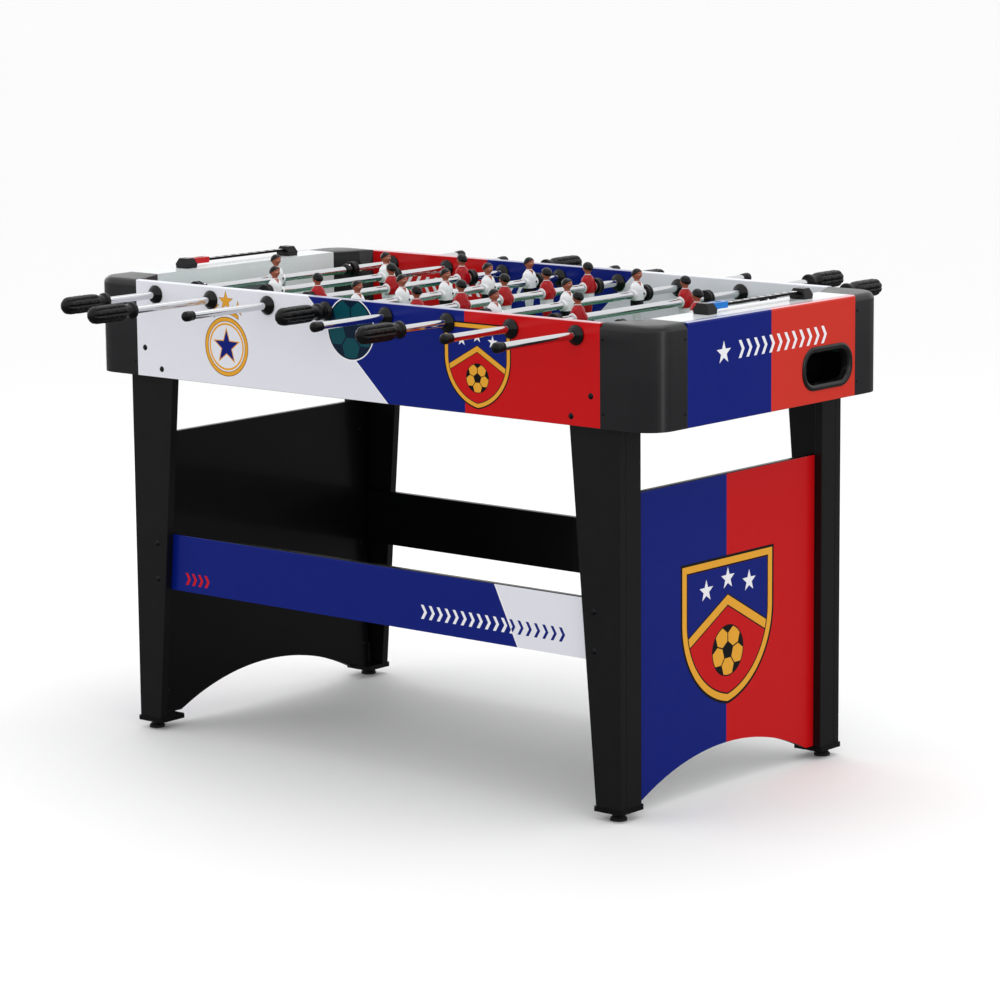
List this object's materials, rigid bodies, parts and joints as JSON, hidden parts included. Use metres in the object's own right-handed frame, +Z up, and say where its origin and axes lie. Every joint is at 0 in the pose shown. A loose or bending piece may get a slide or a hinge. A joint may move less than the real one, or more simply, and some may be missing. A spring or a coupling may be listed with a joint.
{
  "type": "foosball table",
  "caption": "Free-standing table football game: boxed playfield with eight sliding and turning rods of players, score rails, board legs and end panels.",
  "frame": {"origin": "on the floor under the middle of the table", "axes": "+X along the table towards the right end, +Y across it towards the back long side, +Z up"},
  "size_m": [1.225, 1.164, 0.8059],
  "materials": {
    "printed_board": "satin printed laminate",
    "white_board": "gloss white laminate",
    "black_board": "satin black laminate",
    "green_field": "printed green laminate",
    "cap_plastic": "fine-grained moulded plastic",
    "black_plastic": "moulded plastic",
    "red_plastic": "gloss",
    "blue_plastic": "gloss",
    "chrome_steel": "polished",
    "white_team": "painted plastic",
    "red_team": "painted plastic",
    "grip_rubber": "moulded soft plastic",
    "bumper_rubber": "matte",
    "black_steel": "black oxide"
  },
  "bodies": {
    "root": {"front_side_panel": "printed_board", "front_stretcher": "printed_board", "back_side_panel": "printed_board", "back_stretcher": "black_board", "left_end_panel": "printed_board", "left_end_support": "printed_board", "right_end_panel": "printed_board", "right_end_support": "printed_board", "front_left_leg": "black_board", "front_right_leg": "black_board", "back_left_leg": "black_board", "back_right_leg": "black_board", "corner_caps": "cap_plastic", "inner_end_walls": "white_board", "end_top_boards": "white_board", "playfield": "green_field", "ball_return_trays": "black_plastic", "ball_outlet_bezels": "black_plastic", "foot_plates": "black_plastic", "rod_bearings": "black_plastic", "scorer_racks": "black_plastic", "screws_and_bolts": "black_steel"},
    "rod_1_carrier": {"rod_1_bumpers": "bumper_rubber"},
    "rod_1_spinner": {"rod_1_tube": "chrome_steel", "rod_1_players": "white_team", "rod_1_grips": "grip_rubber"},
    "rod_2_carrier": {"rod_2_bumpers": "bumper_rubber"},
    "rod_2_spinner": {"rod_2_tube": "chrome_steel", "rod_2_players": "white_team", "rod_2_grips": "grip_rubber"},
    "rod_3_carrier": {"rod_3_bumpers": "bumper_rubber"},
    "rod_3_spinner": {"rod_3_tube": "chrome_steel", "rod_3_players": "red_team", "rod_3_grips": "grip_rubber"},
    "rod_4_carrier": {"rod_4_bumpers": "bumper_rubber"},
    "rod_4_spinner": {"rod_4_tube": "chrome_steel", "rod_4_players": "white_team", "rod_4_grips": "grip_rubber"},
    "rod_5_carrier": {"rod_5_bumpers": "bumper_rubber"},
    "rod_5_spinner": {"rod_5_tube": "chrome_steel", "rod_5_players": "red_team", "rod_5_grips": "grip_rubber"},
    "rod_6_carrier": {"rod_6_bumpers": "bumper_rubber"},
    "rod_6_spinner": {"rod_6_tube": "chrome_steel", "rod_6_players": "white_team", "rod_6_grips": "grip_rubber"},
    "rod_7_carrier": {"rod_7_bumpers": "bumper_rubber"},
    "rod_7_spinner": {"rod_7_tube": "chrome_steel", "rod_7_players": "red_team", "rod_7_grips": "grip_rubber"},
    "rod_8_carrier": {"rod_8_bumpers": "bumper_rubber"},
    "rod_8_spinner": {"rod_8_tube": "chrome_steel", "rod_8_players": "red_team", "rod_8_grips": "grip_rubber"},
    "left_marker": {"left_scorer_marker": "red_plastic"},
    "right_marker": {"right_scorer_marker": "blue_plastic"},
    "front_left_foot": {"front_left_leveller": "black_plastic"},
    "front_right_foot": {"front_right_leveller": "black_plastic"},
    "back_left_foot": {"back_left_leveller": "black_plastic"},
    "back_right_foot": {"back_right_leveller": "black_plastic"}
  },
  "joints": [
    {"name": "rod_1_slide", "type": "slide", "parent": "root", "child": "rod_1_carrier", "axis": [0, 1, 0], "range_m": [-0.0717, 0.0933]},
    {"name": "rod_1_spin", "type": "hinge", "parent": "rod_1_carrier", "child": "rod_1_spinner", "pos_m": [-0.4578, 0, 0.7625], "axis": [0, 1, 0], "continuous": true},
    {"name": "rod_2_slide", "type": "slide", "parent": "root", "child": "rod_2_carrier", "axis": [0, 1, 0], "range_m": [-0.1057, 0.1249]},
    {"name": "rod_2_spin", "type": "hinge", "parent": "rod_2_carrier", "child": "rod_2_spinner", "pos_m": [-0.327, 0, 0.7625], "axis": [0, 1, 0], "continuous": true},
    {"name": "rod_3_slide", "type": "slide", "parent": "root", "child": "rod_3_carrier", "axis": [0, 1, 0], "range_m": [-0.0719, 0.0719]},
    {"name": "rod_3_spin", "type": "hinge", "parent": "rod_3_carrier", "child": "rod_3_spinner", "pos_m": [-0.1962, 0, 0.7625], "axis": [0, 1, 0], "continuous": true},
    {"name": "rod_4_slide", "type": "slide", "parent": "root", "child": "rod_4_carrier", "axis": [0, 1, 0], "range_m": [-0.0271, 0.0055]},
    {"name": "rod_4_spin", "type": "hinge", "parent": "rod_4_carrier", "child": "rod_4_spinner", "pos_m": [-0.0654, 0, 0.7625], "axis": [0, 1, 0], "continuous": true},
    {"name": "rod_5_slide", "type": "slide", "parent": "root", "child": "rod_5_carrier", "axis": [0, 1, 0], "range_m": [-0.0055, 0.0466]},
    {"name": "rod_5_spin", "type": "hinge", "parent": "rod_5_carrier", "child": "rod_5_spinner", "pos_m": [0.0654, 0, 0.7625], "axis": [0, 1, 0], "continuous": true},
    {"name": "rod_6_slide", "type": "slide", "parent": "root", "child": "rod_6_carrier", "axis": [0, 1, 0], "range_m": [-0.0651, 0.0775]},
    {"name": "rod_6_spin", "type": "hinge", "parent": "rod_6_carrier", "child": "rod_6_spinner", "pos_m": [0.1962, 0, 0.7625], "axis": [0, 1, 0], "continuous": true},
    {"name": "rod_7_slide", "type": "slide", "parent": "root", "child": "rod_7_carrier", "axis": [0, 1, 0], "range_m": [-0.0814, 0.08]},
    {"name": "rod_7_spin", "type": "hinge", "parent": "rod_7_carrier", "child": "rod_7_spinner", "pos_m": [0.327, 0, 0.7625], "axis": [0, 1, 0], "continuous": true},
    {"name": "rod_8_slide", "type": "slide", "parent": "root", "child": "rod_8_carrier", "axis": [0, 1, 0], "range_m": [-0.084, 0.081]},
    {"name": "rod_8_spin", "type": "hinge", "parent": "rod_8_carrier", "child": "rod_8_spinner", "pos_m": [0.4578, 0, 0.7625], "axis": [0, 1, 0], "continuous": true},
    {"name": "left_marker_slide", "type": "slide", "parent": "root", "child": "left_marker", "axis": [0, 1, 0], "range_m": [0, 0.192]},
    {"name": "right_marker_slide", "type": "slide", "parent": "root", "child": "right_marker", "axis": [0, 1, 0], "range_m": [0, 0.192]},
    {"name": "front_left_foot_turn", "type": "hinge", "parent": "root", "child": "front_left_foot", "pos_m": [-0.513, -0.273, 0.03], "axis": [0, 0, 1], "continuous": true},
    {"name": "front_right_foot_turn", "type": "hinge", "parent": "root", "child": "front_right_foot", "pos_m": [0.513, -0.273, 0.03], "axis": [0, 0, 1], "continuous": true},
    {"name": "back_left_foot_turn", "type": "hinge", "parent": "root", "child": "back_left_foot", "pos_m": [-0.513, 0.273, 0.03], "axis": [0, 0, 1], "continuous": true},
    {"name": "back_right_foot_turn", "type": "hinge", "parent": "root", "child": "back_right_foot", "pos_m": [0.513, 0.273, 0.03], "axis": [0, 0, 1], "continuous": true}
  ]
}
